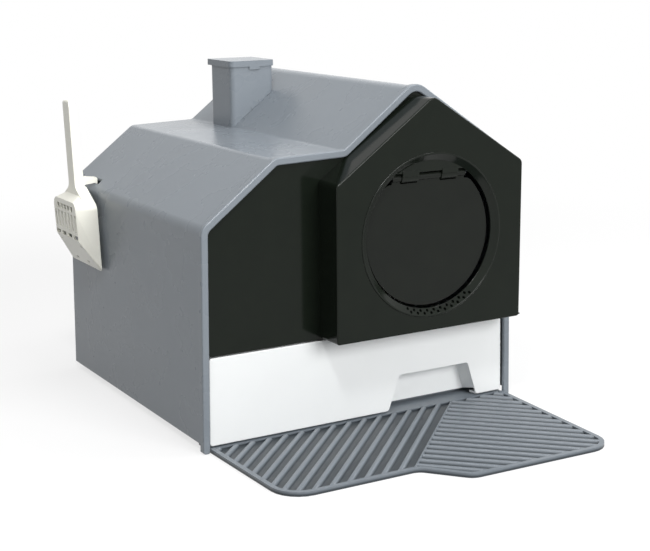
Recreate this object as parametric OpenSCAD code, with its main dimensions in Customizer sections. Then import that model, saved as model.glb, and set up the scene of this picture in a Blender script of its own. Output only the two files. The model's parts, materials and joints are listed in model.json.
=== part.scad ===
// Drawer litter box: a house-shaped cabinet with a porch and swinging entry door,
// a litter drawer that pulls out at the front, a filter chimney with a hinged lid,
// a ribbed catching mat and a scoop that hangs on the left roof edge.
// Millimetres, +Z up, front towards -Y. Origin: middle of the footprint on the floor.

/* [Cabinet] */
// Width over the front rim at the floor
cab_w = 500; // [496:1:506]
// Depth from the front rim to the back wall
cab_d = 476; // [470:1:484]
// Height of the left eave
left_eave_z = 298.5; // [294:0.5:302]
// Height of the right eave
right_eave_z = 361; // [356:1:366]
// Height of the ridge
ridge_z = 470.5; // [466:0.5:474]
// Distance of the ridge from the left wall
ridge_x = 330; // [326:1:334]
// Distance of the roof shoulder from the left wall
shoulder_x = 113; // [108:1:118]
// Height of the roof shoulder
shoulder_z = 381; // [377:1:383]
// Distance of the roof valley from the left wall
valley_x = 217; // [213:1:219]
// Height of the roof valley
valley_z = 384; // [382:1:387]
// Lean of the side walls, sideways per unit of height
lean = 0.018; // [0.014:0.001:0.020]
// Thickness of the moulded walls
wall = 2.8; // [2.4:0.1:3.0]

/* [Front rim] */
// Width of the rim's front face
rim_w = 10; // [9:0.5:10.5]
// Thickness of the rim's front flange
rim_t = 5; // [4.5:0.5:5.5]
// Depth of the collar behind the flange
collar_d = 12; // [10:1:14]
// How far the rim stands proud of the walls
rim_step = 2.5; // [2:0.1:2.6]
// Rounding of the rim's edges
rim_round = 2; // [1:0.5:2.2]

/* [Porch and panel] */
// Left side of the porch
porch_x0 = 179; // [177:1:181]
// Right side of the porch
porch_x1 = 481; // [479:1:482]
// Underside of the porch
porch_z0 = 131; // [131:0.5:132]
// Height of the porch's left eave
porch_left_z = 344; // [342:1:346]
// Height of the porch's right eave
porch_right_z = 355; // [353:1:357]
// Height of the porch's gable point
porch_top_z = 452.5; // [450:0.5:454]
// How far the porch stands in front of the cabinet rim
porch_d = 43; // [40:1:46]
// Thickness of the panel and porch
skin = 2.5; // [2.2:0.1:2.6]
// Lower edge of the front panel
panel_z0 = 129; // [128.5:0.5:130]

/* [Entry] */
// Height of the centre of the round entry
entry_z = 264; // [262:1:265]
// Radius of the round cut-out in the porch front
entry_r = 113.4; // [112:0.2:114]
// Radius of the clear way through the entry ring
throat_r = 102; // [101.5:0.1:103]
// Radius of the round door
door_r = 98.5; // [97:0.5:98.8]
// Height of the door's hinge axis
door_axis_z = 344; // [343.5:0.5:344.5]
// Thickness of the door
door_t = 3; // [2:0.5:3]

/* [Drawer] */
// Height of the drawer front's upper edge
front_top_z = 126.5; // [125:0.5:127]
// Height of the pan's rim
pan_top_z = 118; // [110:1:119]
// Height of the pan's underside
pan_z0 = 13; // [12.8:0.1:13.5]
// Depth of the finger recess in the drawer front
recess_d = 27.5; // [22:0.5:27.5]

/* [Mat] */
// Height of the mat's rim and ribs
mat_h = 5.8; // [5:0.1:5.8]
// Thickness of the mat's sheet
mat_t = 1.8; // [1.6:0.1:2.2]
// Spacing of the ribs, measured along the front
rib_step = 25; // [24:1:27]

/* [Chimney] */
// Width and depth of the chimney
chimney_w = 72; // [70:1:73]
// Height of the chimney's upper end
chimney_top_z = 478.5; // [477:0.5:479]
// Height of the filter's ledge
ledge_z = 440; // [438:1:444]

/* [Scoop] */
// Width of the scoop's lip
scoop_lip_w = 124; // [120:1:126]
// Width of the scoop's open side at its shoulders
scoop_shoulder_w = 107; // [104:1:110]
// Width of the slotted panel that closes the scoop
scoop_panel_w = 92; // [90:1:96]
// Width of the handle
handle_w = 25; // [22:1:26]

/* [Hidden] */
$fn = 64;
eps = 0.01;

GREY = "#8d949b";
BLACK = "#1b1b1a";
SMOKE = "#2a2b29";
WHITE = "#f0f1f1";
IVORY = "#f3f2e6";
STEEL = "#b9bcc0";
CHARCOAL = "#2b2b2c";

// Heights that the parts share
wall_z0 = 10;
door_axis_y = -30;
hinge_pin_r = 1.5;
hinge_play = 0.07;

// Outline of the cabinet seen from the front, counter-clockwise, cut level at height b
function cab_outline(b) = [
    [lean * b, b],
    [cab_w - lean * b, b],
    [cab_w - lean * right_eave_z, right_eave_z],
    [ridge_x, ridge_z],
    [valley_x, valley_z],
    [shoulder_x, shoulder_z],
    [lean * left_eave_z, left_eave_z]
];
cab_round = [0, 0, 20.5, 26, 7, 16, 20.5];

porch_outline = [
    [porch_x0, porch_z0],
    [porch_x1, porch_z0],
    [porch_x1, porch_right_z],
    [(porch_x0 + porch_x1) / 2, porch_top_z],
    [porch_x0, porch_left_z]
];
porch_round = [4, 4, 9, 14, 9];
entry_x = (porch_x0 + porch_x1) / 2;

// ---- plane geometry ----

function unit(v) = v / norm(v);
function left_of(v) = [-v[1], v[0]];
function turn2(u, v) = u[0] * v[1] - u[1] * v[0];
function around(pts, i) = pts[(i + len(pts)) % len(pts)];

// Where the line through p along u meets the line through q along v
function meet(p, u, q, v) = p + u * (turn2(q - p, v) / turn2(u, v));

// A counter-clockwise outline drawn in by d on every side
function drawn_in(pts, d) = [
    for (i = [0 : len(pts) - 1])
        let (
            b = pts[i],
            u = unit(b - around(pts, i - 1)),
            v = unit(around(pts, i + 1) - b)
        )
        meet(b + left_of(u) * d, u, b + left_of(v) * d, v)
];

// Half the angle between the two sides that meet at corner i
function half_angle(pts, i) =
    acos(unit(around(pts, i - 1) - pts[i]) * unit(around(pts, i + 1) - pts[i])) / 2;

// Length that a rounding of radius r takes off each side of corner i
function set_back(pts, i, r) = r / tan(half_angle(pts, i));
function round_start(pts, i, r) =
    pts[i] + unit(around(pts, i - 1) - pts[i]) * set_back(pts, i, r);
function convex(pts, i) =
    turn2(pts[i] - around(pts, i - 1), around(pts, i + 1) - pts[i]) > 0;
function round_centre(pts, i, r) =
    round_start(pts, i, r)
    + left_of(unit(pts[i] - around(pts, i - 1))) * (convex(pts, i) ? r : -r);

// An outline whose corners are arcs of the given radii, each of n steps
function rounded(pts, radii, n = 6) = [
    for (i = [0 : len(pts) - 1])
        if (radii[i] <= 0) pts[i]
        else
            let (
                c = round_centre(pts, i, radii[i]),
                s = round_start(pts, i, radii[i]) - c,
                from = atan2(s[1], s[0]),
                sweep = (convex(pts, i) ? 1 : -1) * (180 - 2 * half_angle(pts, i))
            )
            for (k = [0 : n])
                c + radii[i] * [cos(from + sweep * k / n), sin(from + sweep * k / n)]
];

function shrunk(radii, d, pts) = [
    for (i = [0 : len(radii) - 1])
        radii[i] <= 0 ? 0 : max(0.5, radii[i] - (convex(pts, i) ? d : -d))
];

// The cabinet outline drawn in by d, its corners kept concentric, its lower edge at z
function cab_inset(d, z) = rounded(
    drawn_in(cab_outline(z - d), d),
    shrunk(cab_round, d, cab_outline(0))
);
function porch_inset(d) = rounded(
    drawn_in(porch_outline, d),
    shrunk(porch_round, d, porch_outline)
);

function same(value, n) = [for (i = [1 : n]) value];
function box_outline(x0, y0, x1, y1) = [[x0, y0], [x1, y0], [x1, y1], [x0, y1]];
function round_box(x0, y0, x1, y1, r) = rounded(box_outline(x0, y0, x1, y1), same(r, 4));

// A point that lies the fraction t along edge i of the cabinet outline, d inside it
function beside_wall(i, t, d) =
    let (pts = cab_outline(0), a = pts[i], b = around(pts, i + 1))
    a + (b - a) * t + left_of(unit(b - a)) * d;

// ---- placing ----

module place() {
    translate([-cab_w / 2, -cab_d / 2, 0])
        children();
}

// A front view outline (x, z) carried from y0 back to y1
module along_y(y0, y1) {
    translate([0, y1, 0])
        rotate([90, 0, 0])
            linear_extrude(height = y1 - y0)
                children();
}

// A side view outline (y, z) carried from x0 to x1
module along_x(x0, x1) {
    translate([x0, 0, 0])
        rotate([90, 0, 90])
            linear_extrude(height = x1 - x0)
                children();
}

module box(lo, hi) {
    translate(lo)
        cube(hi - lo);
}

// A block with an eased front edge: outline(d) is its outline drawn in by d
module eased_block(y0, y1, ease, outline) {
    steps = 4;
    hull() {
        for (k = [0 : steps]) {
            a = 90 * k / steps;
            y = y0 + ease * (1 - cos(a));
            along_y(y, y + eps)
                polygon(outline(ease * (1 - sin(a))));
        }
        along_y(y1 - eps, y1)
            polygon(outline(0));
    }
}

// A screw whose head sits on y = 0 and whose shank runs towards -Y
module screw_into_front(r, reach, head_r, head_h) {
    rotate([90, 0, 0])
        cylinder(r = r, h = reach);
    rotate([-90, 0, 0])
        cylinder(r1 = head_r, r2 = head_r * 0.8, h = head_h);
}

// ---- base ----

base_x0 = 26;
base_y0 = 45;
base_y1 = 450;
base_t = 3;
ledge_top = 12.5;
ledge_x0 = 6;
boss_x = 11;
boss_r = 4;
boss_y = [60, 240, 430];
screw_r = 1.5;

module mirrored_sides() {
    children();
    translate([cab_w, 0, 0])
        mirror([1, 0, 0])
            children();
}

module base_tray() {
    color(GREY) place() {
        difference() {
            union() {
                linear_extrude(height = base_t)
                    polygon(round_box(base_x0, base_y0, cab_w - base_x0, base_y1, 6));
                mirrored_sides() {
                    box([base_x0, base_y0 + 6, 0], [base_x0 + base_t, base_y1 - 6, ledge_top]);
                    box([ledge_x0, 30, ledge_top - base_t], [base_x0 + base_t, 464, ledge_top]);
                }
                box([base_x0 + 6, base_y0, 0], [cab_w - base_x0 - 6, base_y0 + base_t, ledge_top]);
                box([base_x0, base_y1 - base_t, 0], [cab_w - base_x0, base_y1, ledge_top]);
                box([base_x0, base_y1 - base_t, ledge_top - base_t], [cab_w - base_x0, 464, ledge_top]);
                for (y = [120, 240, 360])
                    box([base_x0, y, 0], [cab_w - base_x0, y + 4, ledge_top]);
            }
            mirrored_sides()
                for (y = boss_y)
                    translate([boss_x, y, 0])
                        cylinder(r = screw_r + 0.3, h = 40);
        }
    }
}

module base_screws() {
    color(STEEL) place()
        mirrored_sides()
            for (y = boss_y)
                translate([boss_x, y, 0]) {
                    translate([0, 0, 7])
                        cylinder(r1 = 2.4, r2 = 3, h = ledge_top - base_t - 7);
                    translate([0, 0, 7])
                        cylinder(r = screw_r, h = 25);
                }
}

// ---- shell ----

// Sections of the front rim, (distance inside the outline, y): a bead with rounded edges
// and the slightly smaller collar behind it
bead_section = rounded(box_outline(0, 0, rim_w, rim_t), [rim_round, rim_round, 0, 0.6], 4);
collar_section = rounded(box_outline(0.4, rim_t - 1, 4, collar_d), [0, 0, 0, 1.2], 4);
toe_r = 3.5;

back_y = cab_d;
rear_boss_at = [
    beside_wall(6, 0.25, 9.2),
    beside_wall(6, 0.75, 9.2),
    beside_wall(1, 0.22, 9.2),
    beside_wall(1, 0.8, 9.2),
    beside_wall(2, 0.5, 9.2),
    beside_wall(4, 0.5, 9.2)
];
rear_panel_y = 470;
front_fix_at = [
    beside_wall(6, 0.12, 7.9),
    beside_wall(6, 0.45, 7.9),
    beside_wall(5, 0.5, 7.9),
    beside_wall(4, 0.5, 7.9),
    beside_wall(3, 0.45, 7.9),
    beside_wall(2, 0.5, 7.9),
    beside_wall(1, 0.5, 7.9),
    beside_wall(1, 0.88, 7.9)
];

// Slot in the left roof slope for the scoop's hook
hook_slot_x = [18, 26];
scoop_y = 398.5;
hook_slot_w = 28;

chimney_x0 = valley_x;
chimney_x1 = valley_x + chimney_w;
chimney_y0 = 328.7;
chimney_y1 = chimney_y0 + chimney_w;
flue_gap = 5;

module cabinet_shell() {
    color(GREY) place()
        difference() {
            union() {
                difference() {
                    along_y(3, cab_d)
                        difference() {
                            polygon(cab_inset(rim_step, wall_z0));
                            polygon(cab_inset(rim_step + wall, -20));
                        }
                    box([hook_slot_x[0], scoop_y - hook_slot_w / 2, 280],
                        [hook_slot_x[1], scoop_y + hook_slot_w / 2, 340]);
                    box([chimney_x0 + flue_gap, chimney_y0 + flue_gap, 360],
                        [chimney_x1 - flue_gap, chimney_y1 - flue_gap, 460]);
                }
                difference() {
                    union() {
                        rim_sweep(bead_section);
                        rim_sweep(collar_section);
                    }
                    rim_toes();
                }
                shell_bosses();
                roof_ribs();
            }
            for (p = front_fix_at)
                translate([p[0], rim_t, p[1]])
                    rotate([90, 0, 0])
                        cylinder(r = 1.2, h = 3.5);
            for (p = rear_boss_at)
                translate([p[0], rear_panel_y + 1, p[1]])
                    rotate([90, 0, 0])
                        cylinder(r = 1.5, h = 13);
            mirrored_sides()
                for (y = boss_y)
                    translate([boss_x, y, ledge_top - 1])
                        cylinder(r = screw_r, h = 21);
        }
}

// The cabinet outline drawn in by d, from its right foot over the roof to its left foot
function rim_line(d) =
    let (line = drawn_in(rounded(cab_outline(-d), cab_round), d))
    [for (i = [1 : len(line)]) around(line, i)];

// A convex section carried along the outline
module rim_sweep(section) {
    lines = [for (p = section) rim_line(p[0])];
    n = len(section);
    last = len(lines[0]) - 1;
    polyhedron(
        points = [
            for (i = [0 : last])
                for (j = [0 : n - 1])
                    [lines[j][i][0], section[j][1], lines[j][i][1]]
        ],
        faces = concat(
            [[for (j = [n - 1 : -1 : 0]) j]],
            [[for (j = [0 : n - 1]) last * n + j]],
            [
                for (i = [0 : last - 1])
                    for (j = [0 : n - 1])
                        let (k = (j + 1) % n)
                        [i * n + j, i * n + k, (i + 1) * n + k, (i + 1) * n + j]
            ]
        )
    );
}

// What the rounded toes of the rim leave out
module rim_toes() {
    mirrored_sides()
        along_y(-1, collar_d + 1)
            difference() {
                polygon([[-1, -1], [rim_w + 1, -1], [rim_w + 1, toe_r], [-1, toe_r]]);
                translate([toe_r, toe_r])
                    circle(r = toe_r);
                translate([rim_w - toe_r, toe_r])
                    circle(r = toe_r);
                polygon(box_outline(toe_r, -2, rim_w - toe_r, toe_r + 2));
            }
}

// Posts for the base screws and the back panel screws
module shell_bosses() {
    mirrored_sides()
        for (y = boss_y)
            translate([boss_x, y, ledge_top]) {
                cylinder(r = boss_r, h = 24);
                box([-6, -1.5, 0], [0, 1.5, 24]);
            }
    for (p = rear_boss_at)
        translate([p[0], rear_panel_y, p[1]])
            rotate([90, 0, 0])
                cylinder(r = 4.5, h = 14);
}

// Low ribs that stiffen the roof from inside
module roof_ribs() {
    for (y = [120, 230])
        along_y(y, y + 2.5)
            difference() {
                polygon(cab_inset(rim_step + 1, 262));
                polygon(cab_inset(rim_step + wall + 5, -20));
            }
}

// ---- back ----

module rear_panel() {
    color(GREY) place()
        difference() {
            union() {
                along_y(rear_panel_y, rear_panel_y + 3)
                    polygon(cab_inset(rim_step + wall + 0.4, wall_z0));
                along_y(rear_panel_y - 6, rear_panel_y + 1)
                    difference() {
                        polygon(cab_inset(20, 24));
                        polygon(cab_inset(22.5, 26.5));
                    }
            }
            for (p = rear_boss_at)
                translate([p[0], rear_panel_y + 4, p[1]])
                    rotate([90, 0, 0])
                        cylinder(r = 1.8, h = 5);
        }
}

module rear_panel_screws() {
    color(STEEL) place()
        for (p = rear_boss_at)
            translate([p[0], rear_panel_y + 3, p[1]])
                screw_into_front(1.5, 14, 3.2, 2.2);
}

// ---- front panel and porch ----

panel_y = rim_t;
panel_lap = rim_step + wall + 0.4;
porch_y = -porch_d;
porch_ease = 2;
lip_out = 4;

module front_panel() {
    color(BLACK) place()
        difference() {
            union() {
                along_y(panel_y, panel_y + skin)
                    difference() {
                        polygon(cab_inset(panel_lap, panel_z0));
                        polygon(porch_inset(1.2));
                    }
                box([panel_lap + 6, panel_y + 1, panel_z0 + 0.4],
                    [porch_x0 + 1, panel_y + 12, panel_z0 + skin]);
                difference() {
                    eased_block(porch_y, panel_y + skin + 2, porch_ease, function(d) porch_inset(d));
                    along_y(porch_y + skin, panel_y + skin + 3)
                        polygon(porch_inset(skin));
                }
                box([porch_x1 - 1, porch_y + 4, porch_z0 + 1.1],
                    [porch_x1 + lip_out, panel_y + 1, porch_z0 + 3.2]);
            }
            translate([entry_x, porch_y - 1, entry_z])
                rotate([-90, 0, 0])
                    cylinder(r = entry_r, h = skin + 2, $fn = 128);
            for (a = ring_fix_angles)
                at_entry(a, ring_fix_r, porch_y + skin + eps)
                    rotate([90, 0, 0])
                        cylinder(r = 1.1, h = 1.8);
            for (p = front_fix_at)
                translate([p[0], panel_y + skin + 1, p[1]])
                    rotate([90, 0, 0])
                        cylinder(r = 1.5, h = skin + 2);
        }
}

module front_panel_screws() {
    color(STEEL) place()
        for (p = front_fix_at)
            translate([p[0], panel_y + skin, p[1]])
                screw_into_front(1.2, skin + 3.4, 2.2, 1.8);
}

// ---- entry ring ----

ring_t = 2.5;
ring_flange_r = 121;
ring_fix_r = 117.3;
ring_fix_angles = [20, 80, 140, 200, 260, 320];
dish_d = 6;
bead_h = 0.9;
bead_w = 3.4;
bead_round = 0.85;
grip_hole_r = 1.9;
grip_row_r = [throat_r + 2.9, throat_r + 6.3];
grip_angles = [for (k = [0 : 9]) 249 + 6 * k];
lug_x = 32;
lug_w = 26;
lug_r = 6.5;
brow_z = door_axis_z + 7;

// Places a child on the entry's face, at angle a and radius r from its centre
module at_entry(a, r, y) {
    translate([entry_x + r * cos(a), y, entry_z + r * sin(a)])
        children();
}

// A profile (radius, y) spun round the entry's axis
module spun_entry() {
    translate([entry_x, 0, entry_z])
        rotate([-90, 0, 0])
            rotate_extrude($fn = 128)
                children();
}

module entry_ring() {
    back = porch_y + skin;
    color(BLACK) place()
        difference() {
            union() {
                spun_entry()
                    polygon(rounded(
                        [
                            [entry_r - 0.3, porch_y - bead_h],
                            [entry_r - 0.3, back],
                            [ring_flange_r, back],
                            [ring_flange_r, back + ring_t],
                            [entry_r - 4, back + ring_t],
                            [throat_r + 1.2, porch_y + dish_d + ring_t],
                            [throat_r, porch_y + dish_d + ring_t],
                            [throat_r, porch_y + dish_d],
                            [entry_r - bead_w, porch_y],
                            [entry_r - bead_w + bead_h, porch_y - bead_h]
                        ],
                        [bead_round, 0, 0, 0, 0, 0, 0.6, 0.8, 0, bead_round],
                        4
                    ));
                brow();
                for (side = [-1, 1])
                    hinge_lug(entry_x + side * lug_x);
            }
            for (a = grip_angles)
                for (row = [0, 1])
                    at_entry(a + 3 * row, grip_row_r[row], porch_y - 2)
                        rotate([-90, 0, 0])
                            cylinder(r = grip_hole_r, h = 13, $fn = 16);
            for (a = ring_fix_angles)
                at_entry(a, ring_fix_r, back - 1)
                    rotate([-90, 0, 0])
                        cylinder(r = 1.4, h = ring_t + 2, $fn = 24);
            translate([entry_x - 60, door_axis_y, door_axis_z])
                rotate([0, 90, 0])
                    cylinder(r = hinge_pin_r + 0.02, h = 120);
        }
}

// The closed segment above the door
module brow() {
    intersection() {
        spun_entry()
            polygon(box_outline(0, porch_y + dish_d, throat_r + 1, porch_y + dish_d + ring_t));
        box([entry_x - 120, porch_y - 1, brow_z], [entry_x + 120, 0, entry_z + 120]);
    }
}

// An eye for the door's pin, hung from the brow
module hinge_lug(x) {
    along_x(x - lug_w / 2, x + lug_w / 2) {
        translate([door_axis_y, door_axis_z])
            circle(r = lug_r);
        polygon(box_outline(porch_y + dish_d - 1, door_axis_z + 2.5, door_axis_y, brow_z + 3));
    }
}

module entry_ring_screws() {
    color(STEEL) place()
        for (a = ring_fix_angles)
            at_entry(a, ring_fix_r, porch_y + skin + ring_t)
                screw_into_front(1.1, ring_t + 1.6, 2.2, 1.6);
}

module flap_hinge_pin() {
    color(STEEL) place()
        translate([entry_x - 62, door_axis_y, door_axis_z])
            rotate([0, 90, 0])
                cylinder(r = hinge_pin_r, h = 124);
}

// ---- door ----

door_top_z = door_axis_z - 7.6;
door_corner_r = 16;
eye_r = 5;
eye_gap = 0.4;
eye_reach = 59;
eye_spans = [
    [-eye_reach, -lug_x - lug_w / 2 - eye_gap],
    [-lug_x + lug_w / 2 + eye_gap, lug_x - lug_w / 2 - eye_gap],
    [lug_x + lug_w / 2 + eye_gap, eye_reach]
];

// Outline of the round door: a circle cut level at the top, its two shoulders rounded
module door_outline(in = 0) {
    r = door_r - in;
    top = door_top_z - in - entry_z;
    q = door_corner_r - in;
    side_x = sqrt(pow(r - q, 2) - pow(top - q, 2));
    out = (r + 3) / (r - q);
    translate([entry_x, entry_z])
        difference() {
            circle(r = r, $fn = 128);
            translate([-120, top])
                square([240, 60]);
            for (side = [-1, 1])
                difference() {
                    polygon([
                        [side * side_x, top - q],
                        [side * side_x, top + 1],
                        [side * (side_x + 30), top + 1],
                        [side * side_x * out, (top - q) * out]
                    ]);
                    translate([side * side_x, top - q])
                        circle(r = q);
                }
        }
}

module flap_door() {
    color(SMOKE) place()
        difference() {
            union() {
                along_y(door_axis_y - door_t / 2, door_axis_y + door_t / 2)
                    door_outline();
                for (span = eye_spans)
                    along_x(entry_x + span[0], entry_x + span[1]) {
                        translate([door_axis_y, door_axis_z])
                            circle(r = eye_r);
                        polygon(box_outline(
                            door_axis_y - door_t / 2, door_top_z - 2,
                            door_axis_y + door_t / 2, door_axis_z - 1
                        ));
                    }
                along_y(door_axis_y + door_t / 2 - eps, door_axis_y + door_t / 2 + 2)
                    difference() {
                        door_outline(4);
                        door_outline(6);
                    }
            }
            translate([entry_x - 70, door_axis_y, door_axis_z])
                rotate([0, 90, 0])
                    cylinder(r = hinge_pin_r + hinge_play, h = 140);
        }
}

// ---- drawer ----

pan_x0 = 17;
pan_y0 = 36;
pan_y1 = 455;
pan_t = 2.5;
front_y = 5.5;
front_t = 3;
front_z0 = 7;
front_gap = 12;
front_outline = [
    [front_gap, front_z0],
    [cab_w - front_gap, front_z0],
    [cab_w - front_gap - lean * front_top_z, front_top_z],
    [front_gap + lean * front_top_z, front_top_z]
];
front_ease = 1.6;
front_depth = 14;
function front_inset(d) = rounded(drawn_in(front_outline, d), same(max(0.5, 4 - d), 4));
recess_top = [309, 427];
recess_foot = [290.5, 443.5];
recess_top_z = 58;
recess_draft = 3.5;
recess_wall_z = [17, 10];
drawer_fix_at = [
    [70, 35], [70, 95], [180, 95], [cab_w - 180, 95], [cab_w - 70, 95], [cab_w - 50, 35]
];

// A level slice of the pan, drawn in by d at the sides and back, and by front at the front
module pan_slice(z, d, front) {
    translate([0, 0, z])
        linear_extrude(height = eps)
            polygon(round_box(pan_x0 + d, pan_y0 + front, cab_w - pan_x0 - d, pan_y1 - d, 18));
}

module litter_pan() {
    foot_in = 8;
    top_in = 3;
    color(WHITE) place()
        difference() {
            union() {
                hull() {
                    pan_slice(pan_z0, foot_in, 0);
                    pan_slice(pan_top_z - eps, top_in, 0);
                }
                translate([0, 0, pan_top_z - 4])
                    linear_extrude(height = 4)
                        polygon(round_box(pan_x0, pan_y0, cab_w - pan_x0, pan_y1, 20));
            }
            hull() {
                pan_slice(pan_z0 + pan_t, foot_in + pan_t, pan_t);
                pan_slice(pan_top_z + eps, top_in + pan_t, pan_t);
            }
            for (p = drawer_fix_at)
                translate([p[0], pan_y0 + 12, p[1]])
                    rotate([90, 0, 0])
                        cylinder(r = 1.7, h = 16);
        }
}

// The finger recess seen from the front, grown by g at the sides and g_top at the top
module recess_outline(g, g_top) {
    slope = (recess_foot[1] - recess_top[1]) / (recess_top_z - front_z0);
    below = 6;
    polygon(rounded(
        [
            [recess_foot[0] - g - slope * below, front_z0 - below],
            [recess_foot[1] + g + slope * below, front_z0 - below],
            [recess_top[1] + g, recess_top_z + g_top],
            [recess_top[0] - g, recess_top_z + g_top]
        ],
        [0, 0, 4 + min(g, g_top), 4 + min(g, g_top)]
    ));
}

// The pocket behind the recess, narrower at the back by its draft, with walls t thicker
module recess_pocket(t, y0, y1) {
    hull() {
        along_y(y0, y0 + eps)
            recess_outline(t, t);
        along_y(y1 - eps, y1)
            recess_outline(t - recess_draft, t - 1);
    }
}

// The opening of the recess in the drawer's face, its two feet rounded
module recess_mouth() {
    foot_r = 6;
    flat = 14;
    polygon(rounded(
        [
            [recess_foot[0] - flat, front_z0 - 6],
            [recess_foot[1] + flat, front_z0 - 6],
            [recess_foot[1] + flat, front_z0],
            [recess_foot[1], front_z0],
            [recess_top[1], recess_top_z],
            [recess_top[0], recess_top_z],
            [recess_foot[0], front_z0],
            [recess_foot[0] - flat, front_z0]
        ],
        [0, 0, 0, foot_r, 4, 4, foot_r, 0]
    ));
}

module drawer_front() {
    color(WHITE) place()
        difference() {
            union() {
                difference() {
                    eased_block(front_y, front_y + front_depth, front_ease, function(d) front_inset(d));
                    along_y(front_y + front_t, front_y + front_depth + 1)
                        polygon(front_inset(front_t));
                }
                intersection() {
                    recess_pocket(pan_t, front_y + 0.5, front_y + recess_d + pan_t);
                    along_x(0, cab_w)
                        polygon([
                            [front_y, recess_wall_z[0]],
                            [front_y + recess_d + pan_t, recess_wall_z[1]],
                            [front_y + recess_d + pan_t, front_top_z],
                            [front_y, front_top_z]
                        ]);
                }
                for (p = drawer_fix_at)
                    translate([p[0], pan_y0, p[1]])
                        rotate([90, 0, 0])
                            cylinder(r = 5, h = pan_y0 - front_y - 1);
            }
            recess_pocket(0, front_y + front_t, front_y + recess_d);
            along_y(front_y - 1, front_y + front_t + eps)
                recess_mouth();
            box([recess_foot[0] + 4, front_y, front_z0 - 1],
                [recess_foot[1] - 4, front_y + front_depth + 1, front_z0 + front_t]);
            for (p = drawer_fix_at)
                translate([p[0], pan_y0 + 1, p[1]])
                    rotate([90, 0, 0])
                        cylinder(r = 1.5, h = 16);
        }
}

module drawer_screws() {
    color(STEEL) place()
        for (p = drawer_fix_at)
            translate([p[0], pan_y0 + pan_t, p[1]])
                screw_into_front(1.5, pan_t + 14, 3, 2);
}

// ---- chimney ----

chimney_t = 2.5;
chimney_r = 7;
chimney_hinge_y = chimney_y1 + 3.8;
chimney_hinge_z = 475.5;
lid_eye_r = 3.2;
lid_over = 2;
lid_z0 = 472.5;
lid_z1 = 481.5;
lid_t = 2.2;
// Lower edge of the chimney on the roof slope, at a distance x from the left wall
function slope_z(x) =
    valley_z + (x - valley_x) * (ridge_z - valley_z) / (ridge_x - valley_x)
    - rim_step / cos(atan((ridge_z - valley_z) / (ridge_x - valley_x)));

module chimney_plan(d, r) {
    polygon(round_box(chimney_x0 + d, chimney_y0 + d, chimney_x1 - d, chimney_y1 - d, r));
}

module chimney_body() {
    color(GREY) place()
        difference() {
            union() {
                difference() {
                    translate([0, 0, 370])
                        linear_extrude(height = chimney_top_z - 370)
                            chimney_plan(0, chimney_r);
                    along_y(chimney_y0 - 20, chimney_y1 + 20)
                        polygon(cab_inset(rim_step - 0.1, wall_z0));
                }
                for (x = [chimney_x0 + 4, chimney_x1 - 18])
                    along_x(x, x + 14) {
                        translate([chimney_hinge_y, chimney_hinge_z])
                            circle(r = lid_eye_r);
                        polygon([
                            [chimney_y1 - 1, chimney_hinge_z - 9],
                            [chimney_hinge_y + lid_eye_r - 0.3, chimney_hinge_z - 1.2],
                            [chimney_hinge_y, chimney_hinge_z + lid_eye_r],
                            [chimney_hinge_y - lid_eye_r + 0.2, chimney_hinge_z + 1],
                            [chimney_y1 - 1, chimney_hinge_z + 1]
                        ]);
                    }
                for (x = [34, 47])
                    box([chimney_x0 + x - 1.5, chimney_y0 - 1.2, slope_z(chimney_x0 + x + 1.5) + 0.3],
                        [chimney_x0 + x + 1.5, chimney_y0 + 1, slope_z(chimney_x0 + x) + 4]);
            }
            difference() {
                translate([0, 0, 360])
                    linear_extrude(height = 140)
                        chimney_plan(chimney_t, chimney_r - chimney_t);
                translate([0, 0, ledge_z - 2.5])
                    linear_extrude(height = 2.5)
                        difference() {
                            chimney_plan(0, chimney_r);
                            chimney_plan(chimney_t + 4, 2);
                        }
            }
            translate([chimney_x0 - 1, chimney_hinge_y, chimney_hinge_z])
                rotate([0, 90, 0])
                    cylinder(r = hinge_pin_r + 0.02, h = chimney_w + 2);
        }
}

module filter_grid() {
    bars = 6;
    span = chimney_w - 2 * chimney_t - 0.8;
    pitch = span / bars;
    color(GREY) place()
        translate([0, 0, ledge_z])
            linear_extrude(height = 3)
                difference() {
                    chimney_plan(chimney_t + 0.4, chimney_r - chimney_t);
                    for (k = [0 : bars - 1])
                        translate([chimney_x0 + chimney_t + 0.4 + pitch * (k + 0.5), (chimney_y0 + chimney_y1) / 2])
                            square([pitch - 3, span - 12], center = true);
                }
}

module charcoal_filter() {
    color(CHARCOAL) place()
        translate([0, 0, ledge_z + 3])
            linear_extrude(height = 12)
                chimney_plan(chimney_t + 0.8, chimney_r - chimney_t);
}

module lid_hinge_pin() {
    color(STEEL) place()
        translate([chimney_x0 + 3, chimney_hinge_y, chimney_hinge_z])
            rotate([0, 90, 0])
                cylinder(r = hinge_pin_r, h = chimney_w - 6);
}

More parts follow.
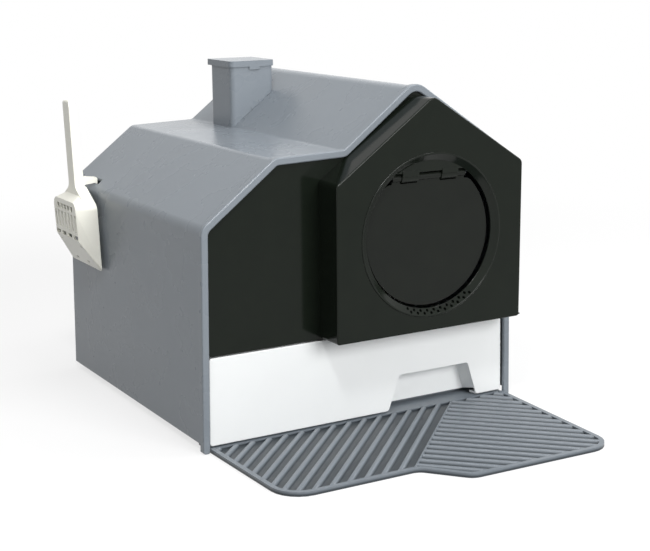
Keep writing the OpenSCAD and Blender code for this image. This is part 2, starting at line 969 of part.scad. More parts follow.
module chimney_lid() {
    rear = chimney_hinge_y + 2.5;
    color(GREY) place()
        difference() {
            union() {
                difference() {
                    translate([0, 0, lid_z0])
                        linear_extrude(height = lid_z1 - lid_z0)
                            polygon(rounded(
                                box_outline(chimney_x0 - lid_over, chimney_y0 - lid_over,
                                    chimney_x1 + lid_over, rear),
                                [8, 8, 2, 2]
                            ));
                    translate([0, 0, lid_z0 - 1])
                        linear_extrude(height = lid_z1 - lid_z0 + 1 - lid_t)
                            polygon(rounded(
                                box_outline(chimney_x0 - 0.4, chimney_y0 - 0.4,
                                    chimney_x1 + 0.4, rear + 10),
                                [7.4, 7.4, 0, 0]
                            ));
                }
                along_x(chimney_x0 + 18.6, chimney_x1 - 18.6) {
                    translate([chimney_hinge_y, chimney_hinge_z])
                        circle(r = lid_eye_r);
                    polygon(box_outline(
                        chimney_hinge_y - 1.5, chimney_hinge_z + 1,
                        chimney_hinge_y + 1.5, lid_z1 - 1
                    ));
                }
                box([chimney_x0 + 30, chimney_y0 - lid_over, lid_z0 - 4.5],
                    [chimney_x0 + 48, chimney_y0 - 0.4, lid_z0 + 2]);
            }
            translate([chimney_x0 - 5, chimney_hinge_y, chimney_hinge_z])
                rotate([0, 90, 0])
                    cylinder(r = hinge_pin_r + hinge_play, h = chimney_w + 10);
        }
}

// ---- mat ----

mat_outline = [
    [12, 42], [11, 0], [15.5, -196], [203.5, -198.3], [249.4, -253],
    [473.8, -259.5], [489, 0], [487, 42]
];
mat_round = [2, 20, 40, 20, 22, 36, 20, 2];
mat_rim = 6.5;
rib_top = 4.4;
rib_foot = 8.4;
split_x = 396.4;
right_rib_x = 500.7;
far = 600;

function mat_inset(d) = rounded(
    drawn_in(mat_outline, d),
    shrunk(mat_round, d, mat_outline)
);

// A rib that runs along direction a through the point p, rounded on top
module mat_rib(p, a) {
    h = mat_h - mat_t;
    translate([p[0], p[1], mat_t - eps])
        rotate([0, 0, a])
            rotate([90, 0, 90])
                translate([0, 0, -400])
                    linear_extrude(height = 800)
                        polygon(rounded(
                            [[-rib_foot / 2, 0], [rib_foot / 2, 0], [rib_top / 2, h], [-rib_top / 2, h]],
                            [0, 0, 1.6, 1.6],
                            3
                        ));
}

// The ribs on one side of the line where their two directions meet
module rib_field(field, first_x, a) {
    intersection() {
        translate([0, 0, mat_t - eps])
            linear_extrude(height = mat_h)
                intersection() {
                    polygon(mat_inset(mat_rim - 0.5));
                    polygon(field);
                }
        union()
            for (k = [0 : 21])
                mat_rib([first_x - rib_step * k, 0], a);
    }
}

module litter_mat() {
    color(GREY) place() {
        difference() {
            linear_extrude(height = mat_h)
                polygon(mat_inset(0));
            translate([0, 0, mat_t])
                linear_extrude(height = mat_h)
                    difference() {
                        polygon(mat_inset(mat_rim));
                        translate([0, 3])
                            square([cab_w, 60]);
                    }
            box([0, 3, mat_h - 1], [cab_w, 60, mat_h + 1]);
        }
        rib_field([[split_x, 0], [-far, 0], [-far, -far], [split_x - far, -far]], split_x, 45);
        rib_field([[split_x, 0], [split_x - far, -far], [far, -far], [far, 0]], right_rib_x, -45);
    }
}

// ---- scoop ----

scoop_t = 2.4;
// The slotted panel leans out from its lower edge, the knee, to its top
panel_top = [-31, 284];
panel_knee = [-28.7, 228];
// Heights of the open side: lip, shoulders, and where the shoulders' slopes meet the handle
scoop_lip_z = 182;
shoulder_h = 278.5;
neck_z = 302.3;
slot_pitch = 13.5;

// Outline of the open side that faces the cabinet, drawn in by d
function scoop_rim(d) = rounded(
    drawn_in(
        [
            [-scoop_lip_w / 2, scoop_lip_z],
            [scoop_lip_w / 2, scoop_lip_z],
            [scoop_shoulder_w / 2, shoulder_h],
            [handle_w / 2, neck_z],
            [-handle_w / 2, neck_z],
            [-scoop_shoulder_w / 2, shoulder_h]
        ],
        d
    ),
    [for (r = [5, 5, 14, 6, 6, 14]) r - d]
);

// A stretch of the slotted panel between heights z0 and z1, drawn in by d at the sides
function scoop_panel(z0, z1, r, d) = rounded(
    box_outline(d - scoop_panel_w / 2, z0, scoop_panel_w / 2 - d, z1),
    [0, 0, r, r]
);

// The bowl's form from the slotted panel to the open side, drawn in by d
module bowl_form(d, past_rim) {
    plate = 0.1;
    translate([0, scoop_y, 0])
        hull() {
            along_x(panel_top[0] + d, panel_top[0] + d + plate)
                polygon(scoop_panel(panel_top[1] - 13, panel_top[1] - d, 12 - d, d));
            along_x(panel_knee[0] + d, panel_knee[0] + d + plate)
                polygon(scoop_panel(panel_knee[1] + 0.6 * d, panel_knee[1] + 4, 1, d));
            along_x(-plate, past_rim)
                polygon(scoop_rim(d));
        }
}

module scoop() {
    color(IVORY) place()
        difference() {
            union() {
                difference() {
                    union() {
                        bowl_form(0, 0);
                        scoop_handle();
                    }
                    bowl_form(scoop_t, 1);
                }
                scoop_hook();
            }
            scoop_slots();
        }
}

// A row of n slots of width w through the panel, as far in as x1
module slot_row(n, pitch, w, z0, z1, x1 = -20) {
    for (k = [0 : n - 1])
        translate([-50, scoop_y + (k - (n - 1) / 2) * pitch - w / 2, z0])
            cube([x1 + 50, w, z1 - z0]);
}

module scoop_slots() {
    slot_row(5, slot_pitch, 10, 269, 277);
    slot_row(7, slot_pitch, 6.4, 240, 265);
    slot_row(4, 24.6, 17, 228.3, 234.6);
    slot_row(2, 81, 5, 217, 220, -12);
    slot_row(2, 44, 10, 189.5, 192.5, -1);
}

// The handle: hollow towards the cabinet, with a flare where it leaves the bowl
module scoop_handle() {
    difference() {
        handle_form();
        along_y(scoop_y - handle_w / 2 + 3, scoop_y + handle_w / 2 - 3)
            polygon([[-15.3, 322], [2, 322], [2, 412], [-18, 412]]);
    }
}

module handle_form() {
    flare_x = 34;
    shoulder_slope = (neck_z - shoulder_h) / (scoop_shoulder_w / 2 - handle_w / 2);
    flare_z = neck_z - shoulder_slope * (flare_x - handle_w / 2);
    intersection() {
        along_y(scoop_y - 60, scoop_y + 60)
            polygon(rounded(
                [[-17.2, 276], [-1, 276], [-1.6, 286], [-11.7, 429], [-21.9, 433], [-17.2, 286]],
                [0, 0, 0, 3.6, 3.6, 0],
                4
            ));
        translate([0, scoop_y, 0])
            along_x(-40, 10)
                polygon(rounded(
                    [
                        [-flare_x, flare_z - 8],
                        [flare_x, flare_z - 8],
                        [flare_x, flare_z],
                        [handle_w / 2, neck_z],
                        [handle_w / 2, 432.6],
                        [-handle_w / 2, 432.6],
                        [-handle_w / 2, neck_z],
                        [-flare_x, flare_z]
                    ],
                    [0, 0, 0, 14, 8, 8, 14, 0]
                ));
    }
}

// The hook that drops into the slot of the roof slope
module scoop_hook() {
    hook_w = 8;
    along_y(scoop_y - hook_w / 2, scoop_y + hook_w / 2)
        polygon(rounded(
            [[-6, 317.2], [-6, 303.4], [18.3, 306], [18.3, 292], [21.3, 292], [21.3, 313.9]],
            [0, 0, 0, 1, 1, 2.5],
            4
        ));
}

// ---- assembly ----

base_tray();
base_screws();
cabinet_shell();
rear_panel();
rear_panel_screws();
front_panel();
front_panel_screws();
entry_ring();
entry_ring_screws();
flap_hinge_pin();
flap_door();
litter_pan();
drawer_front();
drawer_screws();
chimney_body();
filter_grid();
charcoal_filter();
lid_hinge_pin();
chimney_lid();
litter_mat();
scoop();
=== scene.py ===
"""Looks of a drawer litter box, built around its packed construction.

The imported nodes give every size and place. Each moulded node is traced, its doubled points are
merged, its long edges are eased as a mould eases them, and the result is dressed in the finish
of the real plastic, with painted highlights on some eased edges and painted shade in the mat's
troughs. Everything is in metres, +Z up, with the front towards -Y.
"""

import json
import logging
import math
from dataclasses import dataclass, field
from enum import Enum

import bmesh
import bpy
from mathutils import Matrix, Vector

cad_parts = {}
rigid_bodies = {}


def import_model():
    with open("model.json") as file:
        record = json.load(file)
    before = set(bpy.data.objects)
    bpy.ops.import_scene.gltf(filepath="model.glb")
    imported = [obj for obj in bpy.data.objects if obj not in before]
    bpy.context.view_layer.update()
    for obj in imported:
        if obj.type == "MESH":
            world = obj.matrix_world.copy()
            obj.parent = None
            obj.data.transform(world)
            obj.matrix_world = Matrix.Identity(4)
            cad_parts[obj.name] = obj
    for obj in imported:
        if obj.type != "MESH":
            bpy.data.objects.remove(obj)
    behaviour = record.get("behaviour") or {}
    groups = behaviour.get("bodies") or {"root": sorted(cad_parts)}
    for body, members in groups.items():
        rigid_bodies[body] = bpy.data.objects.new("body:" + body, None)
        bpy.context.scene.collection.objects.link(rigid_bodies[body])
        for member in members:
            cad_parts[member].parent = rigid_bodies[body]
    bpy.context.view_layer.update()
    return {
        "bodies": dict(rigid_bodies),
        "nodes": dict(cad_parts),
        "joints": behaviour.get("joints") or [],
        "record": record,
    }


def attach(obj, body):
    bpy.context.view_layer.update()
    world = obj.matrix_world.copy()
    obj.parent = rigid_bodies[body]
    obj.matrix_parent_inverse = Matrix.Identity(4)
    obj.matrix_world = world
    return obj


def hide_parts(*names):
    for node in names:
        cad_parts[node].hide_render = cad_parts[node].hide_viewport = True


LOG = logging.getLogger("litter_box")
MM = 0.001
WHITE = (1.0, 1.0, 1.0, 1.0)
BEVEL_WEIGHT = "bevel_weight_edge"


class Body(Enum):
    """The rigid bodies that pieces ride on."""

    CABINET = "cabinet"
    DRAWER = "drawer"
    DOOR = "door"
    LID = "lid"
    FILTER = "filter"
    MAT = "mat"
    SCOOP = "scoop_body"


class Slot(Enum):
    """The record's material slots."""

    GREY = "grey_plastic"
    BLACK = "black_plastic"
    SMOKED = "smoked_plastic"
    WHITE = "white_plastic"
    MAT = "mat_plastic"
    IVORY = "ivory_plastic"
    FOAM = "charcoal_foam"


# ---- colour and node helpers ----


def linear(hex_code: str) -> tuple[float, float, float, float]:
    """Turns an sRGB hex colour into linear light.

    Args:
        hex_code: Six hex digits, with or without a leading #.

    Returns:
        Red, green and blue, linear, with a full alpha.
    """
    digits = hex_code.lstrip("#")
    channels = [int(digits[i : i + 2], 16) / 255 for i in (0, 2, 4)]
    red, green, blue = [
        c / 12.92 if c <= 0.04045 else ((c + 0.055) / 1.055) ** 2.4 for c in channels
    ]
    return (red, green, blue, 1.0)


def per_metre(millimetres: float) -> float:
    """Returns the pattern scale that gives a feature of this size."""
    return 1 / (millimetres * MM)


def add_node(
    tree: bpy.types.NodeTree, kind: str, links: dict | None = None, **settings
) -> bpy.types.Node:
    """Adds a shader node with its settings and links.

    Args:
        tree: Node tree to add to.
        kind: Node type name.
        links: Input name or number to a socket to link, or to a value to set.
        **settings: Properties of the node itself.

    Returns:
        The new node.
    """
    new = tree.nodes.new(kind)
    for key, value in settings.items():
        setattr(new, key, value)
    for key, value in (links or {}).items():
        if isinstance(value, bpy.types.NodeSocket):
            tree.links.new(value, new.inputs[key])
        else:
            new.inputs[key].default_value = value
    return new


def new_material(name: str) -> tuple[bpy.types.Material, bpy.types.NodeTree]:
    """Makes an empty node material.

    Args:
        name: Name of the material.

    Returns:
        The material and its cleared node tree.
    """
    material = bpy.data.materials.new(name)
    material.use_nodes = True
    material.node_tree.nodes.clear()
    return material, material.node_tree


# ---- finishes ----


@dataclass(frozen=True)
class MouldedPolypropylene:
    """Injection-moulded polypropylene from a spark-eroded mould.

    It gives the eye a broad soft highlight, faint flow clouds and a fine even grain. Where a
    trough shade colour is given, troughs up to a few millimetres over the floor take it as
    painted shade between ribs, darker towards the bottom of each trough.
    """

    name: str
    colour: str
    cloud: str
    roughness: float
    specular: float = 0.5
    ior: float = 1.49
    # Colour and heights of the painted shade in troughs between ribs
    trough_shade: str = ""
    trough_shade_z_mm: tuple[float, float] = (2.0, 4.6)
    cloud_mm: float = 60.0
    cloud_detail: float = 3.0
    cloud_roughness: float = 0.5
    cloud_range: tuple[float, float] = (0.3, 0.7)
    shine_swing: float = 0.03
    # Real grain is about 0.2 mm, too fine to show, so it is drawn coarser
    grain_mm: float = 2.2
    grain_detail: float = 2.0
    grain_depth_mm: float = 0.02
    grain_strength: float = 0.1

    def material(self) -> bpy.types.Material:
        """Builds the node material."""
        material, tree = new_material(self.name)
        place = add_node(tree, "ShaderNodeTexCoord").outputs["Object"]
        clouds = add_node(
            tree,
            "ShaderNodeTexNoise",
            {
                "Vector": place,
                "Scale": per_metre(self.cloud_mm),
                "Detail": self.cloud_detail,
                "Roughness": self.cloud_roughness,
            },
        ).outputs["Fac"]
        tint = add_node(
            tree,
            "ShaderNodeMix",
            {"Factor": clouds, "A": linear(self.colour), "B": linear(self.cloud)},
            data_type="RGBA",
        )
        colour = tint.outputs["Result"]
        # Painted shade in the troughs, darker the nearer to the floor
        if self.trough_shade:
            colour = self.paint_trough_shade(tree, place, colour)
        shine = add_node(
            tree,
            "ShaderNodeMapRange",
            {
                "Value": clouds,
                "From Min": self.cloud_range[0],
                "From Max": self.cloud_range[1],
                "To Min": self.roughness - self.shine_swing,
                "To Max": self.roughness + self.shine_swing,
            },
        )
        grain = add_node(
            tree,
            "ShaderNodeTexNoise",
            {"Vector": place, "Scale": per_metre(self.grain_mm), "Detail": self.grain_detail},
        )
        relief = add_node(
            tree,
            "ShaderNodeBump",
            {
                "Strength": self.grain_strength,
                "Distance": self.grain_depth_mm * MM,
                "Height": grain.outputs["Fac"],
            },
        )
        shader = add_node(
            tree,
            "ShaderNodeBsdfPrincipled",
            {
                "Base Color": colour,
                "Roughness": shine.outputs["Result"],
                "IOR": self.ior,
                "Specular IOR Level": self.specular,
                "Normal": relief.outputs["Normal"],
            },
        )
        add_node(tree, "ShaderNodeOutputMaterial", {"Surface": shader.outputs["BSDF"]})
        return material

    def paint_trough_shade(
        self, tree: bpy.types.NodeTree, place: bpy.types.NodeSocket, colour: bpy.types.NodeSocket
    ) -> bpy.types.NodeSocket:
        """Paints shade into the troughs between ribs.

        Args:
            tree: Node tree to add to.
            place: Object coordinates.
            colour: Colour of the crests.

        Returns:
            The colour with painted shade in the troughs.
        """
        height = add_node(tree, "ShaderNodeSeparateXYZ", {"Vector": place}).outputs["Z"]
        rise = add_node(
            tree,
            "ShaderNodeMapRange",
            {
                "Value": height,
                "From Min": self.trough_shade_z_mm[0] * MM,
                "From Max": self.trough_shade_z_mm[1] * MM,
            },
        )
        mixed = add_node(
            tree,
            "ShaderNodeMix",
            {"Factor": rise.outputs["Result"], "A": linear(self.trough_shade), "B": colour},
            data_type="RGBA",
        )
        return mixed.outputs["Result"]


@dataclass(frozen=True)
class PolishedStyrene:
    """High-gloss black styrene plastic from a polished mould.

    It gives the eye sharp dark reflections, the very slight waviness of a moulded wall, and a
    little haze where fingers and dust have dulled it. On an eased edge, painted a touch paler as
    a highlight, it gives a thin bright line.
    """

    name: str
    colour: str
    smear: str
    roughness: float
    specular: float
    ior: float = 1.52
    wave_mm: float = 26.0
    wave_detail: float = 1.0
    wave_depth_mm: float = 0.05
    wave_strength: float = 0.3
    dust_mm: float = 2.2
    dust_detail: float = 4.0
    dust_roughness: float = 0.7
    dust_range: tuple[float, float] = (0.45, 0.75)
    dust_haze: float = 0.06

    def material(self) -> bpy.types.Material:
        """Builds the node material."""
        material, tree = new_material(self.name)
        place = add_node(tree, "ShaderNodeTexCoord").outputs["Object"]
        waves = add_node(
            tree,
            "ShaderNodeTexNoise",
            {"Vector": place, "Scale": per_metre(self.wave_mm), "Detail": self.wave_detail},
        ).outputs["Fac"]
        dust = add_node(
            tree,
            "ShaderNodeTexNoise",
            {
                "Vector": place,
                "Scale": per_metre(self.dust_mm),
                "Detail": self.dust_detail,
                "Roughness": self.dust_roughness,
            },
        )
        haze = add_node(
            tree,
            "ShaderNodeMapRange",
            {
                "Value": dust.outputs["Fac"],
                "From Min": self.dust_range[0],
                "From Max": self.dust_range[1],
                "To Min": self.roughness,
                "To Max": self.roughness + self.dust_haze,
            },
        )
        tint = add_node(
            tree,
            "ShaderNodeMix",
            {"Factor": waves, "A": linear(self.colour), "B": linear(self.smear)},
            data_type="RGBA",
        )
        relief = add_node(
            tree,
            "ShaderNodeBump",
            {
                "Strength": self.wave_strength,
                "Distance": self.wave_depth_mm * MM,
                "Height": waves,
            },
        )
        shader = add_node(
            tree,
            "ShaderNodeBsdfPrincipled",
            {
                "Base Color": tint.outputs["Result"],
                "Roughness": haze.outputs["Result"],
                "IOR": self.ior,
                "Specular IOR Level": self.specular,
                "Normal": relief.outputs["Normal"],
            },
        )
        add_node(tree, "ShaderNodeOutputMaterial", {"Surface": shader.outputs["BSDF"]})
        return material


@dataclass(frozen=True)
class ZincPlatedSteel:
    """Bright zinc on steel.

    It gives the eye a cool metal shine with the crystalline bloom of the plating.
    """

    name: str = "zinc plated steel"
    colour: str = "#b4b8bc"
    bloom: str = "#8f949a"
    bloom_mm: float = 1.5
    roughness: float = 0.32

    def material(self) -> bpy.types.Material:
        """Builds the node material."""
        material, tree = new_material(self.name)
        place = add_node(tree, "ShaderNodeTexCoord").outputs["Object"]
        crystals = add_node(
            tree, "ShaderNodeTexVoronoi", {"Vector": place, "Scale": per_metre(self.bloom_mm)}
        )
        tint = add_node(
            tree,
            "ShaderNodeMix",
            {
                "Factor": crystals.outputs["Distance"],
                "A": linear(self.colour),
                "B": linear(self.bloom),
            },
            data_type="RGBA",
        )
        shader = add_node(
            tree,
            "ShaderNodeBsdfPrincipled",
            {"Base Color": tint.outputs["Result"], "Metallic": 1.0, "Roughness": self.roughness},
        )
        add_node(tree, "ShaderNodeOutputMaterial", {"Surface": shader.outputs["BSDF"]})
        return material


@dataclass(frozen=True)
class CarbonFoam:
    """Open-cell foam loaded with activated carbon.

    It gives the eye a matt black face full of small pores.
    """

    name: str = "activated carbon foam"
    colour: str = "#2b2b2c"
    pore: str = "#0b0b0b"
    pore_mm: float = 1.6
    pore_depth_mm: float = 0.8
    pore_strength: float = 0.8
    roughness: float = 0.95

    def material(self) -> bpy.types.Material:
        """Builds the node material."""
        material, tree = new_material(self.name)
        place = add_node(tree, "ShaderNodeTexCoord").outputs["Object"]
        pores = add_node(
            tree, "ShaderNodeTexVoronoi", {"Vector": place, "Scale": per_metre(self.pore_mm)}
        ).outputs["Distance"]
        tint = add_node(
            tree,
            "ShaderNodeMix",
            {"Factor": pores, "A": linear(self.pore), "B": linear(self.colour)},
            data_type="RGBA",
        )
        relief = add_node(
            tree,
            "ShaderNodeBump",
            {
                "Strength": self.pore_strength,
                "Distance": self.pore_depth_mm * MM,
                "Height": pores,
            },
        )
        shader = add_node(
            tree,
            "ShaderNodeBsdfPrincipled",
            {
                "Base Color": tint.outputs["Result"],
                "Roughness": self.roughness,
                "Normal": relief.outputs["Normal"],
            },
        )
        add_node(tree, "ShaderNodeOutputMaterial", {"Surface": shader.outputs["BSDF"]})
        return material


Finish = MouldedPolypropylene | PolishedStyrene | ZincPlatedSteel | CarbonFoam


@dataclass
class FinishShelf:
    """Hands out each finish's material, which is made once.

    Attributes:
        made: Materials so far, by the name of their finish.
    """

    made: dict[str, bpy.types.Material] = field(default_factory=dict)

    def material(self, finish: Finish) -> bpy.types.Material:
        """Gives the material of a finish.

        Args:
            finish: The finish wanted.

        Returns:
            Its material.
        """
        if finish.name not in self.made:
            self.made[finish.name] = finish.material()
        return self.made[finish.name]


# ---- modelling helpers ----


def deselect_all() -> None:
    """Leaves edit mode and deselects every object."""
    if bpy.context.object and bpy.context.object.mode != "OBJECT":
        bpy.ops.object.mode_set(mode="OBJECT")
    bpy.ops.object.select_all(action="DESELECT")


def make_active(obj: bpy.types.Object) -> None:
    """Selects one object alone and makes it active."""
    deselect_all()
    obj.select_set(True)
    bpy.context.view_layer.objects.active = obj


@dataclass
class MouldedPiece:
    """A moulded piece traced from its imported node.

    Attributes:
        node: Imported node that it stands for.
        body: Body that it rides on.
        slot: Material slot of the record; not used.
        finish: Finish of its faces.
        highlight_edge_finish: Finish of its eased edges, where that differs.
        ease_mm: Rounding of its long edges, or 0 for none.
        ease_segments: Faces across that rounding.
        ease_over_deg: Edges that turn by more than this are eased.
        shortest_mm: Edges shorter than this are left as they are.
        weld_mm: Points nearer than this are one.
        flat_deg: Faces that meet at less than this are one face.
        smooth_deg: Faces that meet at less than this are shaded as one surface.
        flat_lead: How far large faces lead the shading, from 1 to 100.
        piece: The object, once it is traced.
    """

    node: str
    body: Body
    slot: Slot
    finish: Finish
    highlight_edge_finish: Finish | None = None
    ease_mm: float = 0.0
    ease_segments: int = 2
    ease_over_deg: float = 50.0
    shortest_mm: float = 4.0
    weld_mm: float = 0.03
    flat_deg: float = 0.5
    smooth_deg: float = 32.0
    flat_lead: int = 80
    piece: bpy.types.Object | None = field(default=None, repr=False)

    def build(self, frame: dict, shelf: FinishShelf) -> None:
        """Makes the piece, dresses it and hands it to its body.

        Args:
            shelf: Where the materials come from.
        """
        self.trace(frame)
        self.merge()
        self.dress(shelf)
        if self.ease_mm > 0:
            self.ease()
        self.shade()
        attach(self.piece, self.body.value)
        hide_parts(self.node)
        faces = len(self.piece.data.polygons)
        LOG.info("%s: %d faces on %s", self.piece.name, faces, self.body.value)

    def trace(self, frame: dict) -> None:
        """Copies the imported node's mesh into a new object.
        """
        name = self.node + "_moulding"
        mesh = frame["nodes"][self.node].data.copy()
        mesh.name = name
        self.piece = bpy.data.objects.new(name, mesh)
        bpy.context.scene.collection.objects.link(self.piece)

    def merge(self) -> None:
        """Merges doubled points and joins coplanar triangles."""
        make_active(self.piece)
        bpy.ops.mesh.customdata_custom_splitnormals_clear()
        bpy.ops.object.mode_set(mode="EDIT")
        bpy.ops.mesh.select_all(action="SELECT")
        bpy.ops.mesh.remove_doubles(threshold=self.weld_mm * MM)
        bpy.ops.mesh.dissolve_limited(angle_limit=math.radians(self.flat_deg))
        bpy.ops.object.mode_set(mode="OBJECT")

    def dress(self, shelf: FinishShelf) -> None:
        """Gives the piece its finish, and a second one, a painted highlight, for its edges if
        there is one.

        Args:
            shelf: Where the materials come from.
        """
        materials = self.piece.data.materials
        materials.clear()
        materials.append(shelf.material(self.finish))
        if self.highlight_edge_finish:
            materials.append(shelf.material(self.highlight_edge_finish))

    def ease(self) -> None:
        """Rounds the long sharp edges, which take the last finish, the painted highlight where
        there is one.
        """
        mesh = self.piece.data
        edit = bmesh.new()
        edit.from_mesh(mesh)
        layers = edit.edges.layers.float
        weight = layers.get(BEVEL_WEIGHT) or layers.new(BEVEL_WEIGHT)
        for edge in edit.edges:
            if len(edge.link_faces) == 2 and edge.calc_length() >= self.shortest_mm * MM:
                if edge.calc_face_angle(0.0) > math.radians(self.ease_over_deg):
                    edge[weight] = 1.0
        edit.to_mesh(mesh)
        edit.free()
        bevel = self.piece.modifiers.new("eased edges", "BEVEL")
        bevel.limit_method = "WEIGHT"
        bevel.width = self.ease_mm * MM
        bevel.segments = self.ease_segments
        bevel.material = len(mesh.materials) - 1
        bevel.use_clamp_overlap = True
        make_active(self.piece)
        bpy.ops.object.modifier_apply(modifier=bevel.name)

    def shade(self) -> None:
        """Shades curved stretches smooth, and keeps flats flat."""
        make_active(self.piece)
        bpy.ops.object.shade_smooth_by_angle(angle=math.radians(self.smooth_deg))
        normals = self.piece.modifiers.new("flat faces lead", "WEIGHTED_NORMAL")
        normals.keep_sharp = True
        normals.weight = self.flat_lead
        bpy.ops.object.modifier_apply(modifier=normals.name)


# ---- studio ----


@dataclass(frozen=True)
class SoftBox:
    """One rectangular studio lamp.

    Attributes:
        name: Name of the lamp.
        place: Where it hangs.
        size: Width and height.
        watts: Power.
        aim: Point that it faces.
        shine_only: Whether it shows in glossy surfaces only.
    """

    name: str
    place: tuple[float, float, float]
    size: tuple[float, float]
    watts: float
    aim: tuple[float, float, float] = (0.0, 0.0, 0.2)
    shine_only: bool = False

    def build(self) -> None:
        """Hangs the lamp, which the camera itself doesn't see."""
        data = bpy.data.lights.new(self.name, "AREA")
        data.shape = "RECTANGLE"
        data.size, data.size_y = self.size
        data.energy = self.watts
        obj = bpy.data.objects.new(self.name, data)
        toward = Vector(self.aim) - Vector(self.place)
        obj.rotation_euler = toward.to_track_quat("-Z", "Y").to_euler()
        obj.location = self.place
        obj.visible_camera = False
        obj.visible_diffuse = not self.shine_only
        bpy.context.scene.collection.objects.link(obj)


@dataclass
class Studio:
    """Pale floor, soft light and the photograph's camera.

    Attributes:
        lens_mm: Focal length of the camera.
        sensor_mm: Width of its sensor.
        view_end: How far it sees.
        azimuth_deg: Direction from the object to the camera, from the front.
        elevation_deg: How far the camera looks down.
        roll_deg: How far the camera leans.
        stand: Where the camera stands.
        floor_size: Side of the floor.
        floor_drop: Gap that keeps the floor clear of the object's underside.
        floor_colour: Colour of the floor's cloth.
        floor_lift: Glow that makes the unshaded floor near the object look white.
        floor_fade: Distances at which the floor starts and ends turning plain white.
        fill: Strength of the world's light.
        soft_boxes: The lamps.
    """

    lens_mm: float = 76.54
    sensor_mm: float = 36.0
    view_end: float = 50.0
    azimuth_deg: float = -30.30
    elevation_deg: float = 12.78
    roll_deg: float = -0.52
    stand: tuple[float, float, float] = (-0.9732, -1.7932, 0.6263)
    floor_size: float = 14.0
    floor_drop: float = 0.0004
    floor_colour: str = "#8f8f8f"
    floor_lift: float = 0.7
    floor_fade: tuple[float, float] = (0.75, 1.9)
    fill: float = 0.36
    soft_boxes: tuple[SoftBox, ...] = (
        SoftBox("overhead_box", (0.2, -0.3, 2.5), (1.6, 1.6), 20),
        SoftBox("key_box", (-0.8, -1.2, 1.85), (0.25, 0.25), 13),
        SoftBox("edge_box", (-0.9, -1.3, 2.0), (0.9, 0.9), 30, shine_only=True),
        SoftBox("overhead_core", (1.1, -0.7, 2.2), (0.4, 0.4), 6),
        SoftBox("front_box", (0.6, -3.0, 1.3), (1.4, 1.4), 73),
        SoftBox("rear_box", (0.9, 2.3, 1.2), (1.8, 0.9), 2),
        SoftBox("right_box", (2.4, 0.3, 1.3), (0.5, 1.2), 12),
        SoftBox("left_strip", (-1.25, -0.9, 0.62), (0.06, 1.2), 1.3, aim=(0.0, 0.0, 0.62)),
    )

    def build(self) -> None:
        """Makes the camera, floor, lamps and world."""
        self.camera()
        self.floor()
        for soft_box in self.soft_boxes:
            soft_box.build()
        self.world()
        bpy.context.scene.view_settings.view_transform = "Standard"

    def camera(self) -> None:
        """Places the camera where the photograph was taken from."""
        data = bpy.data.cameras.new("photo_camera")
        data.lens = self.lens_mm
        data.sensor_width = self.sensor_mm
        data.sensor_fit = "HORIZONTAL"
        data.clip_end = self.view_end
        azimuth = math.radians(self.azimuth_deg)
        elevation = math.radians(self.elevation_deg)
        roll = math.radians(self.roll_deg)
        back = Vector(
            (
                math.sin(azimuth) * math.cos(elevation),
                -math.cos(azimuth) * math.cos(elevation),
                math.sin(elevation),
            )
        )
        right = Vector((0, 0, 1)).cross(back).normalized()
        up = back.cross(right)
        turned_right = right * math.cos(roll) + up * math.sin(roll)
        turned_up = up * math.cos(roll) - right * math.sin(roll)
        turn = Matrix((turned_right, turned_up, back)).transposed()
        obj = bpy.data.objects.new("photo_camera", data)
        obj.matrix_world = Matrix.Translation(self.stand) @ turn.to_4x4()
        bpy.context.scene.collection.objects.link(obj)
        bpy.context.scene.camera = obj

    def seen(self, tree: bpy.types.NodeTree) -> bpy.types.NodeSocket:
        """Tells what is seen, directly, mirrored or through something, from what lights.

        Args:
            tree: Node tree to add to.

        Returns:
            A socket that is 1 for camera, glossy and transmission rays, and otherwise 0.
        """
        rays = add_node(tree, "ShaderNodeLightPath").outputs
        mirrored = add_node(
            tree,
            "ShaderNodeMath",
            {0: rays["Is Camera Ray"], 1: rays["Is Glossy Ray"]},
            operation="MAXIMUM",
        )
        through = add_node(
            tree,
            "ShaderNodeMath",
            {0: mirrored.outputs["Value"], 1: rays["Is Transmission Ray"]},
            operation="MAXIMUM",
        )
        return through.outputs["Value"]

    def floor(self) -> None:
        """Lays the pale floor, which shows white and keeps the object's shadow."""
        deselect_all()
        bpy.ops.mesh.primitive_plane_add(size=self.floor_size, location=(0, 0, -self.floor_drop))
        floor = bpy.context.object
        floor.name = "studio_floor"
        material, tree = new_material("studio floor")
        cloth = add_node(
            tree, "ShaderNodeBsdfDiffuse", {"Color": linear(self.floor_colour), "Roughness": 0.0}
        )
        lift = add_node(tree, "ShaderNodeEmission", {"Color": WHITE, "Strength": self.floor_lift})
        near = add_node(tree, "ShaderNodeAddShader", {0: cloth.outputs[0], 1: lift.outputs[0]})
        far = add_node(tree, "ShaderNodeEmission", {"Color": WHITE, "Strength": 1.0})
        place = add_node(tree, "ShaderNodeTexCoord").outputs["Object"]
        away = add_node(tree, "ShaderNodeVectorMath", {0: place}, operation="LENGTH")
        fade = add_node(
            tree,
            "ShaderNodeMapRange",
            {
                "Value": away.outputs["Value"],
                "From Min": self.floor_fade[0],
                "From Max": self.floor_fade[1],
            },
            interpolation_type="SMOOTHSTEP",
        )
        sweep = add_node(
            tree,
            "ShaderNodeMixShader",
            {0: fade.outputs["Result"], 1: near.outputs[0], 2: far.outputs[0]},
        )
        mix = add_node(
            tree,
            "ShaderNodeMixShader",
            {0: self.seen(tree), 1: cloth.outputs[0], 2: sweep.outputs[0]},
        )
        add_node(tree, "ShaderNodeOutputMaterial", {"Surface": mix.outputs[0]})
        floor.data.materials.append(material)

